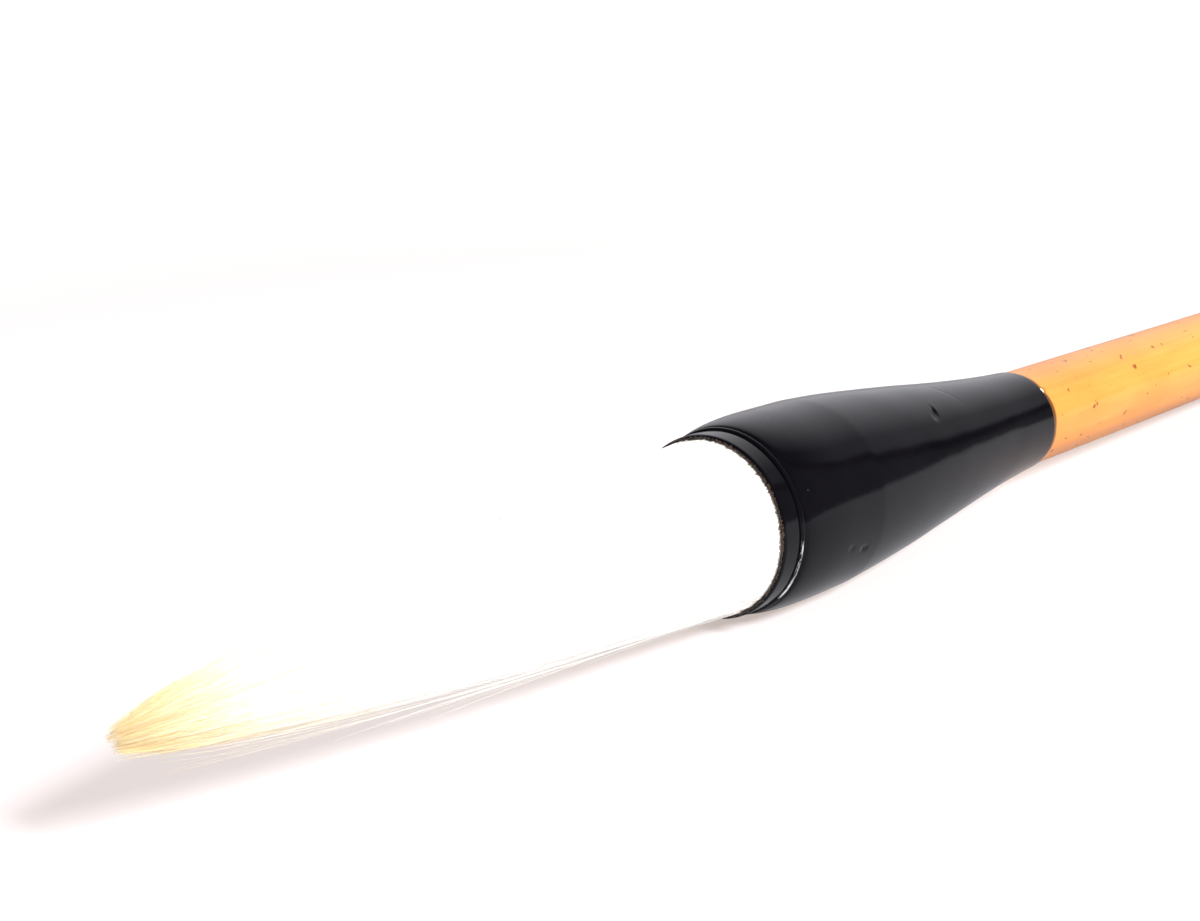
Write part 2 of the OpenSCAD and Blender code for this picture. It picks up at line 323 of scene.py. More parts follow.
def mixColour(tree, share, low, high):
    # a colour between two, each a tuple or another node's colour
    mix = addNode(tree, "ShaderNodeMix", data_type="RGBA")
    for socket, value in ((mix.inputs[0], share), (mix.inputs[6], low), (mix.inputs[7], high)):
        if isinstance(value, bpy.types.NodeSocket):
            tree.links.new(value, socket)
        elif isinstance(value, tuple):
            socket.default_value = (*value, 1.0)
        else:
            socket.default_value = value
    return mix.outputs[2]


def bump(tree, shader, height, strength, distance):
    values = {"Height": height, "Strength": strength, "Distance": distance}
    node = addNode(tree, "ShaderNodeBump", values)
    tree.links.new(node.outputs["Normal"], shader.inputs["Normal"])


def mathNode(tree, operation, first, second=0.0):
    return addNode(tree, "ShaderNodeMath", {0: first, 1: second}, operation=operation).outputs[0]


hairLook = {
    "body": (0.97, 0.93, 0.885),
    "shade": (0.95, 0.885, 0.82),
    "warm": (0.99, 0.86, 0.64),
    "tip": (1.0, 0.78, 0.41),
    "paintedGlow": 0.17,          # painted glow: the hair gives off light in its own colour, in place of light that comes through the hair to its shaded side
    "warmFrom": 0.66,         # share of the way to the tip
    "tipFrom": 0.90,
    "uneven": 0.07,           # how much of that way one hair differs from another
    "smoothest": 0.45,
    "roughest": 0.6,
}


def makeHairMaterial(name, toneAmount):
    # the point attribute reach is 0 at the mouth and 1 at the tip, and tone is a hair's own number,
    # lower where the hair lies deeper, so deeper hair gets more of the painted shade colour
    material, tree, shader = newMaterial(name, 0.5)
    reach = addNode(tree, "ShaderNodeAttribute", attribute_name="reach").outputs["Fac"]
    tone = addNode(tree, "ShaderNodeAttribute", attribute_name="tone").outputs["Fac"]
    uneven = hairLook["uneven"]
    shifted = mathNode(tree, "ADD", reach, mapRange(tree, tone, 0.0, 1.0, -uneven, uneven))
    shade = mapRange(tree, tone, 0.0, 1.0, toneAmount, 0.0)
    body = mixColour(tree, shade, hairLook["body"], hairLook["shade"])
    warm = mixColour(tree, mapRange(tree, shifted, hairLook["warmFrom"], hairLook["tipFrom"]),
                     body, hairLook["warm"])
    tip = mixColour(tree, mapRange(tree, shifted, hairLook["tipFrom"], 1.0), warm, hairLook["tip"])
    tree.links.new(tip, shader.inputs["Base Color"])
    # painted glow: the hair's colour is also given off as light, which brightens its shaded side without
    # a lamp
    tree.links.new(tip, shader.inputs["Emission Color"])
    shader.inputs["Emission Strength"].default_value = hairLook["paintedGlow"]
    rough = mapRange(tree, tone, 0.0, 1.0, hairLook["smoothest"], hairLook["roughest"])
    tree.links.new(rough, shader.inputs["Roughness"])
    return material


# the painted glint on the bead's edge: stations along the brush, and millimetres sideways and up from
# its axis
glintBand = {"from": 2.74, "to": 2.84, "blur": 0.07, "sideFull": -7.4, "sideNone": -7.0, "below": 0.4,
        "belowBlur": 0.6}


def paintedGlint(tree):
    # painted glint: pale, broken stretches on the bead's edge, on the lower near side only, in place of
    # its highlight
    parts = addNode(tree, "ShaderNodeSeparateXYZ", {"Vector": brushVector(tree)})
    blur = glintBand["blur"] * mm
    start = mapRange(tree, parts.outputs["X"], glintBand["from"] * mm - blur, glintBand["from"] * mm)
    end = mapRange(tree, parts.outputs["X"], glintBand["to"] * mm, glintBand["to"] * mm + blur, 1.0, 0.0)
    near = mapRange(tree, parts.outputs["Y"], glintBand["sideFull"] * mm, glintBand["sideNone"] * mm, 1.0, 0.0)
    low = mapRange(tree, parts.outputs["Z"], (glintBand["below"] - glintBand["belowBlur"]) * mm,
                   glintBand["below"] * mm, 1.0, 0.0)
    # streaks break the painted glint into short pieces
    streakMask = fillGroup(tree, streakGroup, {"Along": 5200.0, "Across": 700.0, "Low": 0.44, "High": 0.6})
    band = mathNode(tree, "MULTIPLY", mathNode(tree, "MULTIPLY", start, end), near)
    return mathNode(tree, "MULTIPLY", mathNode(tree, "MULTIPLY", band, low), streakMask)


# bare is the pale colour of the painted glint on the bead
lacquer = {"roughness": 0.11, "ior": 1.27, "dark": (0.0015, 0.0013, 0.0022),
           "light": (0.0038, 0.0034, 0.0048), "dust": (0.16, 0.15, 0.16), "bare": (0.75, 0.74, 0.74)}


def makeFerruleMaterial(name):
    # black with faint clouds, turning rings, rubbed stretches, dust and a painted glint on the bead
    material, tree, shader = newMaterial(name, lacquer["roughness"], ior=lacquer["ior"])
    cloud = fillGroup(tree, streakGroup, {"Along": 60.0, "Across": 60.0, "Low": 0.35, "High": 0.7})
    rings = fillGroup(tree, streakGroup, {"Along": 5200.0, "Across": 40.0, "Low": 0.4, "High": 0.75})
    streakMask = fillGroup(tree, streakGroup, {"Along": 90.0, "Across": 1900.0, "Low": 0.62, "High": 0.8})
    dust = fillGroup(tree, speckGroup, {"Along": 900.0, "Across": 900.0, "Start": 0.765, "Full": 0.82})
    colour = mixColour(tree, cloud, lacquer["dark"], lacquer["light"])
    colour = mixColour(tree, mathNode(tree, "MULTIPLY", dust, 0.35), colour, lacquer["dust"])
    # the bead's painted glint, in the pale bare colour
    colour = mixColour(tree, paintedGlint(tree), colour, lacquer["bare"])
    tree.links.new(colour, shader.inputs["Base Color"])
    rough = mathNode(tree, "ADD", mapRange(tree, rings, 0.0, 1.0, 0.10, 0.17),
                     mathNode(tree, "MULTIPLY", streakMask, 0.12))
    tree.links.new(mathNode(tree, "ADD", rough, mathNode(tree, "MULTIPLY", dust, 0.3)),
                   shader.inputs["Roughness"])
    height = mathNode(tree, "ADD", rings, mathNode(tree, "MULTIPLY", streakMask, 0.6))
    bump(tree, shader, height, 0.12, 0.02 * mm)
    return material


# a chip in the bamboo's edge at the ferrule, and the stained ring beside it
chip = {"station": handleStart + 0.75, "angle": -40.0, "radius": 6.1, "depth": 0.22, "long": 0.55,
        "wide": 0.5, "heart": (0.38, 0.5), "rim": (0.55, 0.8), "ragged": 0.12}
jointRing = {"from": handleStart + 0.5, "to": handleStart + 0.95, "wander": 0.5, "strength": 0.95}
bambooLook = {
    "dark": (0.77, 0.272, 0.037), "light": (0.84, 0.345, 0.060), "fibre": (0.92, 0.45, 0.13),
    "patch": (0.73, 0.21, 0.03), "pore": (0.45, 0.22, 0.07), "fleck": (0.24, 0.07, 0.015),
    "joint": (0.10, 0.035, 0.012), "chipRim": (0.22, 0.07, 0.02), "chipHeart": (0.95, 0.78, 0.55),
}
chipPlace = (chip["station"] * mm, chip["radius"] * mm * math.sin(math.radians(chip["angle"])),
             chip["radius"] * mm * math.cos(math.radians(chip["angle"])))


def makeBambooMaterial(name):
    # long fibres, slow patches of warmer skin, pores and scattered brown flecks
    material, tree, shader = newMaterial(name, 0.4, coat=0.2)
    shader.inputs["Coat Roughness"].default_value = 0.25
    fibre = fillGroup(tree, streakGroup, {"Along": 35.0, "Across": 1500.0, "Low": 0.3, "High": 0.72})
    band = fillGroup(tree, streakGroup, {"Along": 14.0, "Across": 260.0, "Low": 0.35, "High": 0.68})
    patch = fillGroup(tree, streakGroup, {"Along": 45.0, "Across": 90.0, "Low": 0.4, "High": 0.75})
    fleck = fillGroup(tree, speckGroup, {"Along": 520.0, "Across": 850.0, "Start": 0.675, "Full": 0.715})
    pore = fillGroup(tree, speckGroup, {"Along": 800.0, "Across": 3000.0, "Start": 0.66, "Full": 0.76})
    colour = mixColour(tree, band, bambooLook["dark"], bambooLook["light"])
    for mask, strength, look in ((fibre, 0.45, "fibre"), (patch, 0.55, "patch"), (pore, 0.35, "pore"),
                                 (fleck, 0.9, "fleck")):
        colour = mixColour(tree, mathNode(tree, "MULTIPLY", mask, strength), colour, bambooLook[look])
    distance = addNode(tree, "ShaderNodeSeparateXYZ", {"Vector": brushVector(tree)}).outputs["X"]
    wander = mathNode(tree, "MULTIPLY", patch, jointRing["wander"] * mm)
    joint = mapRange(tree, mathNode(tree, "SUBTRACT", distance, wander), jointRing["from"] * mm,
                     jointRing["to"] * mm, jointRing["strength"], 0.0)
    colour = mixColour(tree, joint, colour, bambooLook["joint"])
    place = addNode(tree, "ShaderNodeVectorMath", {0: brushVector(tree), 1: chipPlace},
                    operation="DISTANCE").outputs["Value"]
    edge = mathNode(tree, "ADD", place, mathNode(tree, "MULTIPLY", fibre, chip["ragged"] * mm))
    around = mapRange(tree, edge, chip["rim"][0] * mm, chip["rim"][1] * mm, 0.8, 0.0)
    colour = mixColour(tree, around, colour, bambooLook["chipRim"])
    heart = mapRange(tree, edge, chip["heart"][0] * mm, chip["heart"][1] * mm, 1.0, 0.0)
    colour = mixColour(tree, heart, colour, bambooLook["chipHeart"])
    tree.links.new(colour, shader.inputs["Base Color"])
    tree.links.new(mapRange(tree, fibre, 0.0, 1.0, 0.34, 0.52), shader.inputs["Roughness"])
    height = mathNode(tree, "SUBTRACT", fibre, mathNode(tree, "MULTIPLY", pore, 0.8))
    bump(tree, shader, height, 0.25, 0.04 * mm)
    return material


def makeResinMaterial(name, low, high, roughness):
    # lumps of two colours, with a finer grain that is rougher
    material, tree, shader = newMaterial(name, roughness, coat=0.3)
    lumps = fillGroup(tree, streakGroup, {"Along": 700.0, "Across": 700.0, "Low": 0.35, "High": 0.65})
    fine = fillGroup(tree, speckGroup, {"Along": 2500.0, "Across": 2500.0, "Start": 0.5, "Full": 0.7})
    tree.links.new(mixColour(tree, lumps, low, high), shader.inputs["Base Color"])
    tree.links.new(mapRange(tree, fine, 0.0, 1.0, roughness, min(1.0, roughness + 0.3)),
                   shader.inputs["Roughness"])
    bump(tree, shader, mathNode(tree, "ADD", lumps, fine), 0.5, 0.08 * mm)
    return material


def makeThreadMaterial(name):
    # fine plies, pale on dark
    material, tree, shader = newMaterial(name, 0.7, sheen=0.2)
    ply = fillGroup(tree, streakGroup, {"Along": 5000.0, "Across": 2500.0, "Low": 0.3, "High": 0.7})
    colour = mixColour(tree, ply, (0.66, 0.55, 0.38), (0.86, 0.79, 0.62))
    tree.links.new(colour, shader.inputs["Base Color"])
    bump(tree, shader, ply, 0.4, 0.05 * mm)
    return material


hairMaterial = makeHairMaterial("goatHair", 0.35)
baseHairMaterial = makeHairMaterial("packedHair", 0.7)
ferruleMaterial = makeFerruleMaterial("polishedBlack")
bambooMaterial = makeBambooMaterial("bambooSkin")
rosinMaterial = makeResinMaterial("brownRosin", (0.008, 0.006, 0.005), (0.06, 0.038, 0.024), 0.5)
glueMaterial = makeResinMaterial("amberGlue", (0.55, 0.36, 0.14), (0.78, 0.62, 0.36), 0.25)
dowelMaterial = makeBambooMaterial("dowelWood")
threadMaterial = makeThreadMaterial("waxedThread")
print("materials made")


def finishPiece(piece, material, body, slot, *nodes):
    # the piece's material, the body it rides on, and the CAD nodes it stands for
    piece.data.materials.append(material)
    if body:
        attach(piece, body)
    if nodes:
        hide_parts(*nodes)
    return piece


def bendWithTuft(piece):
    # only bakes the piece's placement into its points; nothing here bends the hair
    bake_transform(piece)


# The three packed layers of hair
def layerThickness(station, full, end):
    # a layer thins evenly from the mouth to its own end
    edge = tuft["layerEdge"]
    return edge + (full - edge) * (1 - np.minimum(0, station) / end)


def underMantle(station):
    # the tuft's radius less the coat
    return tuftRadius(station) - layerThickness(station, tuft["mantle"], tuft["mantleEnd"])


def underLining(station):
    # and less the lining too
    return underMantle(station) - layerThickness(station, tuft["lining"], tuft["liningEnd"])


packing = {"columns": 220, "rows": 90, "flutes": 46, "fluteDepth": 0.10, "gap": 0.06,
           "shallowest": 0.25, "thinnest": 0.05, "inset": 0.05, "coverFrom": -0.6, "tipInset": 1.2,
           "tipCover": 0.15}


def flutedLayer(name, seed, station, radius, hollow, depth):
    # locks of hair run down the layer as shallow flutes, deepest towards the tip
    rows = len(station)
    flutes = smoothNoise(seed, rows, packing["columns"], 1.5, packing["flutes"])
    reach = np.clip(-station / tuft["length"], 0, 1)[:, None]
    shallowest = packing["shallowest"]
    grid = radius[:, None] + depth * flutes * (shallowest + (1 - shallowest) * reach)
    grid = np.maximum(grid, packing["thinnest"])
    columns = packing["columns"]
    stations = np.repeat(station[:, None], columns, 1)
    piece = turnedPiece(name, stations, grid, hollow, tuftDroop(stations))
    extra = 0 if hollow else 2
    endReach = [reach[0, 0], reach[-1, 0]][:extra]
    pointAttribute(piece, "reach", np.append(np.repeat(reach, columns), endReach))
    # tone follows the flutes, so the sunken grooves get more of the painted shade colour
    tone = 0.5 + 0.5 * np.clip(flutes, -1, 1)
    pointAttribute(piece, "tone", np.append(tone.ravel(), [0.5] * extra))
    return piece


def layerLoop(outer, inner, start, end, rows):
    # out along a layer's outer face and back along its inner one, as a closed loop
    out = start + (end - start) * np.linspace(0, 1, rows)
    station = np.concatenate([out, out[::-1]])
    radius = np.concatenate([outer(out), inner(out[::-1])])
    return station, radius


gap = packing["gap"]
root = tuft["rootDepth"] - packing["inset"]
station, radius = layerLoop(
    lambda s: tuftRadius(s) - np.where(s < packing["coverFrom"], tuft["cover"], gap),
    lambda s: underMantle(s) + gap, root, tuft["mantleEnd"], packing["rows"])
coatBase = flutedLayer("coatBase", 11, station, radius, True, packing["fluteDepth"] * 0.5)
bendWithTuft(coatBase)
finishPiece(coatBase, baseHairMaterial, None, "tuft_hair", "mantle_hair", "mantle_root")

station, radius = layerLoop(
    lambda s: underMantle(s) - gap, lambda s: underLining(s) + gap,
    root, tuft["liningEnd"], packing["rows"] // 2)
liningBundle = flutedLayer("liningBundle", 12, station, radius, True, packing["fluteDepth"] * 0.3)
bendWithTuft(liningBundle)
finishPiece(liningBundle, baseHairMaterial, None, "tuft_hair", "lining_hair", "lining_root")

# the core fills what the layers leave, and ends as a blunt point with a square-root outline
station = root + (tipStation + packing["tipInset"] - root) * np.linspace(0, 1, packing["rows"]) ** 0.8
bare = tuftRadius(station) - packing["tipCover"]
inner = np.where(station > tuft["mantleEnd"], underMantle(station), bare)
radius = np.where(station > tuft["liningEnd"], underLining(station), inner) - gap
radius = np.minimum(radius, 0.25 + 0.9 * np.sqrt(np.maximum(station - station[-1], 0)))
corePillar = flutedLayer("corePillar", 13, station, radius, False, packing["fluteDepth"])
bendWithTuft(corePillar)
finishPiece(corePillar, baseHairMaterial, None, "tuft_hair", "core_hair", "core_root")
print("packed hair layers made")


# Loose hair: thick is a radius, depth is how far under the outline a hair may lie
strands = {
    "coat": {"count": 3900, "steps": 9, "start": 2.5, "shortest": 0.42, "longest": 1.0, "depth": 0.34,
             "flare": 0.0, "thick": 0.058, "locks": 64, "gather": 0.75, "wander": 0.05},
    "tip": {"count": 3400, "steps": 9, "start": -38.0, "shortest": 0.87, "longest": 1.0, "depth": 0.6,
            "flare": 0.0, "thick": 0.05, "locks": 26, "gather": 0.85, "wander": 0.25},
    "stray": {"count": 260, "steps": 13, "start": 1.0, "shortest": 0.25, "longest": 1.0, "depth": -0.03,
              "flare": 0.9, "thick": 0.030, "locks": 260, "gather": 0.0, "wander": 0.22},
}
# what all loose hairs share: pairs are a middle and a spread, or the two ends of a range
strandShape = {
    "endPower": 0.6,          # below 1, so more hairs end near the longest
    "lockEnd": (-0.4, 0.8), "ownEnd": 0.4, "pastTip": 0.5, "startRange": (-1.2, 0.6),
    "lockTurn": 0.3, "ownTurn": 0.75, "gatherPower": 1.3,
    "wanderWaves": 4.2, "ownWaves": (3, 8), "ownPhase": 6.3, "ownWander": 0.35,
    "relief": 0.10, "tipSpread": 0.28, "spreadFrom": 0.85, "lift": 2.2, "liftPower": 2.5,
    "thickRange": (0.75, 1.2), "thinning": 0.82, "thinPower": 1.6, "thinnest": 0.05,
    "lockTone": 0.22, "ownTone": 0.2,
}


def hairStrands(name, look, seed):
    # each hair is a thin three-sided tube: it starts under the lip or in the layers, keeps its
    # depth under the tuft's outline, gathers into its lock's angle, and narrows to its end
    random = np.random.default_rng(seed)
    shape = strandShape
    count, steps = look["count"], look["steps"]
    share = np.linspace(0, 1, steps)[None, :]
    length = tuft["length"]
    lengthRange = look["longest"] - look["shortest"]
    reachOfEnd = look["shortest"] + lengthRange * random.random((count, 1)) ** shape["endPower"]
    lock = random.integers(0, look["locks"], (count, 1))
    lockReach = random.normal(*shape["lockEnd"], look["locks"])[lock]
    end = -length * reachOfEnd - lockReach + random.normal(0, shape["ownEnd"], (count, 1))
    end = np.maximum(end, -length - shape["pastTip"])
    start = look["start"] + random.uniform(*shape["startRange"], (count, 1))
    station = start + (end - start) * share
    reach = np.clip(-station / length, 0, 1)

    spacing = 2 * np.pi / look["locks"]
    turn = shape["lockTurn"]
    lockAngle = (np.arange(look["locks"]) + random.uniform(-turn, turn, look["locks"]))[lock] * spacing
    lockPhase = random.uniform(0, 2 * np.pi, look["locks"])[lock]
    lockLift = random.normal(0, 1, look["locks"])[lock]
    ownAngle = random.normal(0, shape["ownTurn"], (count, 1)) * spacing
    gather = look["gather"] * reach ** shape["gatherPower"]
    wander = look["wander"] * np.sin(reach * shape["wanderWaves"] + lockPhase) * reach
    waves = random.uniform(*shape["ownWaves"], (count, 1))
    phase = random.uniform(0, shape["ownPhase"], (count, 1))
    own = shape["ownWander"] * look["wander"] * np.sin(reach * waves + phase)
    angle = lockAngle + ownAngle * (1 - gather) + wander + own * reach

    outline = tuftRadius(station)
    depth = look["depth"] * random.random((count, 1)) * np.sqrt(outline / tuft["mouthRadius"])
    relief = shape["relief"] * lockLift * reach * (1 - gather)
    nearTip = np.clip(reach - shape["spreadFrom"], 0, 1) / (1 - shape["spreadFrom"])
    spread = random.normal(0, shape["tipSpread"], (count, 1)) * nearTip
    lifted = look["flare"] * random.random((count, 1)) ** 2 * share ** shape["liftPower"] * shape["lift"]
    radius = np.maximum(outline - depth + relief + lifted, shape["thinnest"]) + spread
    thinned = 1 - shape["thinning"] * share ** shape["thinPower"]
    thick = look["thick"] * random.uniform(*shape["thickRange"], (count, 1)) * thinned

    centre = onBrush(station, radius, angle, tuftDroop(station))
    outwards, across = spokes(angle)
    sides = 3
    roll = random.uniform(0, 2 * np.pi, (count, 1))
    rings = [centre + (mm * thick)[..., None] * (np.cos(roll + turn)[..., None] * outwards
                                                 + np.sin(roll + turn)[..., None] * across)
             for turn in 2 * np.pi * np.arange(sides) / sides]
    points = np.stack(rings, 2)

    first = (np.arange(count) * steps * sides)[:, None, None]
    step = (np.arange(steps - 1) * sides)[None, :, None]
    side = np.arange(sides)[None, None, :]
    beside = (side + 1) % sides
    quads = np.stack([first + step + side, first + step + beside,
                      first + step + sides + beside, first + step + sides + side], -1).reshape(-1, 4)
    lastRing = (steps - 1) * sides
    caps = np.concatenate([first[:, 0] + [[2, 1, 0]],
                           first[:, 0] + [[lastRing, lastRing + 1, lastRing + 2]]])
    piece = makeMesh(name, points, quads, caps)
    # a lock's tone follows its lift, so sunken locks get more of the painted shade colour; each hair's
    # own tone differs at random
    ownTone = random.normal(0, shape["ownTone"], (count, 1))
    tone = np.clip(0.5 + shape["lockTone"] * lockLift + ownTone, 0, 1)
    pointAttribute(piece, "reach", np.repeat(reach[..., None], sides, 2))
    pointAttribute(piece, "tone", np.broadcast_to(tone[..., None], points.shape[:3]))
    bendWithTuft(piece)
    return finishPiece(piece, hairMaterial, None, "tuft_hair")


for number in range(4):
    hairStrands(f"coatHair{number + 1}", strands["coat"], 100 + number)
for number in range(2):
    hairStrands(f"tipHair{number + 1}", strands["tip"], 200 + number)
hairStrands("strayHair", strands["stray"], 300)
print("loose hair made")

# Ferrule: radii and lengths, then the surface's unevenness and mesh
ferruleShape = {
    "lip": 2.65, "lipRadius": 9.5, "lipRound": 0.35, "lipCut": 0.12, "mouthRadius": 9.2,
    "beadRadius": 9.75, "beadRound": 0.3,
    "drum": 14.4, "drumRound": 8.0, "drumRadius": 10.4,
    "cone": 46.4, "coneEase": 0.45, "endRadius": 6.38, "endRound": 0.12,
    "socketRadius": 8.6, "socketDepth": 22.5, "boreRadius": 5.0, "boreDepth": 22.5,
    "unevenness": 0.018, "columns": 300, "rows": 170, "spacing": 0.8,
}


# station, degrees from the top, length, breadth, slant and depth of each moulding or handling mark
ferruleMarks = [
    (34.65, -38.5, 0.8, 0.3, 62.0, 0.26), (35.0, -36.6, 0.8, 0.22, 62.0, -0.14),
    (33.80, -41.5, 0.5, 0.25, 70.0, 0.18), (11.40, -105.0, 0.16, 0.28, 15.0, 0.30),
    (13.95, -108.0, 0.18, 0.32, 25.0, 0.30), (41.5, -18.0, 0.25, 2.2, 24.0, 0.03),
]


def ferruleOutline():
    # lip, bead, a quarter of an ellipse up to the drum, and a cone that is part cosine wave
    shape = ferruleShape
    end = shape["lip"] + shape["drum"] + shape["cone"]
    inside = densify([[0.02, shape["socketDepth"]], [shape["socketRadius"], shape["socketDepth"]],
                      [shape["socketRadius"], tuft["pinchLength"]], [shape["mouthRadius"], 0.1]],
                     shape["spacing"])
    lipRound = quarterRound([shape["lipRadius"] - shape["lipRound"], shape["lipRound"]],
                            shape["lipRound"], -150, 0, 9)
    lip = densify([[shape["lipRadius"], shape["lipRound"]],
                   [shape["lipRadius"], shape["lip"] - shape["lipCut"]],
                   [shape["lipRadius"] - 0.1, shape["lip"]]], 0.2)
    bead = quarterRound([shape["beadRadius"] - shape["beadRound"], shape["lip"] + shape["beadRound"]],
                        shape["beadRound"], -80, 80, 11)
    groove = shape["beadRadius"] - shape["beadRound"] / 2
    drumStart = shape["lip"] + 2 * shape["beadRound"]
    share = np.linspace(0.02, 1, 26)
    front = np.stack([groove + (shape["drumRadius"] - groove) * np.sqrt(1 - (1 - share) ** 2),
                      drumStart + shape["drumRound"] * share], -1)
    drumEnd = shape["lip"] + shape["drum"]
    back = densify([front[-1], [shape["drumRadius"], drumEnd - 0.25]], 0.6)[1:]
    share = np.linspace(0.006, 1, shape["rows"])
    ease = shape["coneEase"]
    fall = (1 - ease) * (1 - share) + ease * (1 + np.cos(np.pi * share)) / 2
    cone = np.stack([shape["endRadius"] + (shape["drumRadius"] - shape["endRadius"]) * fall,
                     drumEnd + shape["cone"] * share], -1)
    cone[-1, 1] -= shape["endRound"]
    endRound = quarterRound([shape["endRadius"] - shape["endRound"], end - shape["endRound"]],
                            shape["endRound"], 15, 90, 4)
    bore = densify([[shape["boreRadius"], end], [shape["boreRadius"], end - shape["boreDepth"]],
                    [0.02, end - shape["boreDepth"]]], shape["spacing"])
    return np.concatenate([inside, lipRound, lip, bead, front, back, cone, endRound, bore])


outline = ferruleOutline()
columns = ferruleShape["columns"]
station, radius = spreadOutline(outline, columns)
outside = ((outline[:, 0] > ferruleShape["boreRadius"] + 0.2)
           & (np.arange(len(outline)) > np.argmin(outline[:, 1])))[:, None]
uneven = smoothNoise(21, len(outline), columns, 14, 5)
radius = radius + outside * ferruleShape["unevenness"] * uneven
angle = roundAngles(columns)[None, :]
for place, turned, length, breadth, slant, depth in ferruleMarks:
    # a mark is a bump or a pit with a bell-shaped section, turned by its slant on the surface
    lengthwise = station - place
    around = angleFrom(angle, turned) * radius
    cosine, sine = math.cos(math.radians(slant)), math.sin(math.radians(slant))
    first = lengthwise * cosine + around * sine
    second = around * cosine - lengthwise * sine
    radius = radius - outside * depth * np.exp(-(first / length) ** 2 - (second / breadth) ** 2)
ferrule = turnedPiece("ferruleShell", station, radius, False)
ferrule.data.set_sharp_from_angle(angle=math.radians(50))
finishPiece(ferrule, ferruleMaterial, "handle", "ferrule_black", "ferrule")

# Resin at the mouth: a lumpy fillet between the hair and the lip
resin = {"columns": 720, "rows": 14, "width": 0.225, "height": 0.12, "radius": 9.19, "station": 0.08,
         "lumps": 0.55}
turn = np.linspace(0, 2 * np.pi, resin["rows"], endpoint=False)[:, None]
lump = 1 + resin["lumps"] * smoothNoise(31, resin["rows"], resin["columns"], 6, 190, 60)
radius = resin["radius"] + resin["height"] * np.cos(turn) * lump
station = resin["station"] + resin["width"] * np.sin(turn) * lump
mouthResin = turnedPiece("mouthResinRing", station, radius, True)
finishPiece(mouthResin, rosinMaterial, "handle", "rosin", "mouth_resin")
print("ferrule and resin made")

# Handle, with its spigot inside the ferrule
culm = {"radius": 6.15, "spigotRadius": 4.9, "spigot": 22.0, "spigotCut": 0.2, "hollow": 3.0,
        "edge": 0.22, "fine": 3.0, "columns": 200, "spacing": 1.6, "ripple": 0.035}


def culmOutline():
    # spigot, shoulder, skin and cut end, then back along the hollow
    edge = culm["edge"]
    start = handleStart - culm["spigot"]
    spigot = culm["spigotRadius"]
    outer = densify([
        [culm["hollow"], start], [spigot - culm["spigotCut"], start],
        [spigot, start + culm["spigotCut"]],
        [spigot, handleStart], [culm["radius"] - edge, handleStart]], 1.5)
    front = quarterRound([culm["radius"] - edge, handleStart + edge], edge, -70, 0, 5)
    fineEnd = handleStart + culm["fine"]
    joint = densify([[culm["radius"], handleStart + edge], [culm["radius"], fineEnd]], 0.15)[1:]
    skin = densify([[culm["radius"], fineEnd], [culm["radius"], handleEnd - edge]],
                   culm["spacing"])[1:-1]
    back = quarterRound([culm["radius"] - edge, handleEnd - edge], edge, 0, 90, 6)
    hollow = densify([[culm["hollow"], handleEnd], [culm["hollow"], start]], 4)[:-1]
    return np.concatenate([outer, front, joint, skin, back, hollow])


outline = culmOutline()
station, radius = spreadOutline(outline, culm["columns"])
skin = (outline[:, 0] > culm["spigotRadius"] + 0.4)[:, None]
ripple = 0.5 + 0.5 * smoothNoise(41, len(outline), culm["columns"], 5, 9)
radius = radius - skin * culm["ripple"] * ripple
# the chip is a dent with a bell-shaped section
around = angleFrom(roundAngles(culm["columns"])[None, :], chip["angle"]) * culm["radius"]
away = ((station - chip["station"]) / chip["long"]) ** 2 + (around / chip["wide"]) ** 2
radius = radius - skin * chip["depth"] * np.exp(-away)
culmPiece = turnedPiece("bambooCulm", station, radius, True)
culmPiece.data.set_sharp_from_angle(angle=math.radians(55))
finishPiece(culmPiece, bambooMaterial, "handle", "bamboo", "handle")

# Tail cap: turned, then its cord hole is cut with a flared tool
cap = {"radius": 6.05, "edge": 0.2, "collar": 6.0, "curve": 3.6, "neck": 3.2, "knob": 4.4,
       "knobDistance": 4.0, "flat": 1.0, "grooveFrom": 1.6, "grooveTo": 2.4, "grooveDepth": 0.18,
       "dowelHole": 3.0, "dowelDepth": 5.3, "columns": 160}
# the hole's radius grows with the square of the distance past flareFrom, as a share of flareOver
cordHole = {"radius": 1.25, "flare": 0.4, "flareFrom": 3.5, "flareOver": 0.75, "reach": 1.3, "rows": 61,
            "columns": 40}


def capOutline():
    # collar, half a cosine wave down to the neck, then an arc of the knob's circle
    edge = cap["edge"]
    collarEnd = handleEnd + cap["collar"]
    neckStart = collarEnd + cap["curve"]
    centre = neckStart + cap["knobDistance"]
    dowelEnd = handleEnd + cap["dowelDepth"]
    inside = densify([[0.02, dowelEnd], [cap["dowelHole"], dowelEnd], [cap["dowelHole"], handleEnd],
                      [cap["radius"] - edge, handleEnd]], 0.7)
    front = quarterRound([cap["radius"] - edge, handleEnd + edge], edge, -70, 0, 5)
    collar = densify([[cap["radius"], handleEnd + edge], [cap["radius"], collarEnd]], 0.5)[1:]
    fromEnd = collar[:, 1] - handleEnd
    collar[(fromEnd > cap["grooveFrom"]) & (fromEnd < cap["grooveTo"]), 0] -= cap["grooveDepth"]
    share = np.linspace(0, 1, 18)[1:]
    curve = np.stack([cap["neck"] + (cap["radius"] - cap["neck"]) * (1 + np.cos(np.pi * share)) / 2,
                      collarEnd + cap["curve"] * share], -1)
    first = math.asin(cap["neck"] / cap["knob"])
    last = math.pi - math.asin(cap["flat"] / cap["knob"])
    angle = np.linspace(first, last, 30)
    knob = np.stack([cap["knob"] * np.sin(angle), centre - cap["knob"] * np.cos(angle)], -1)
    end = [[0.02, centre + cap["knob"] * math.cos(math.pi - last)]]
    return np.concatenate([inside, front, collar, curve, knob, end]), centre


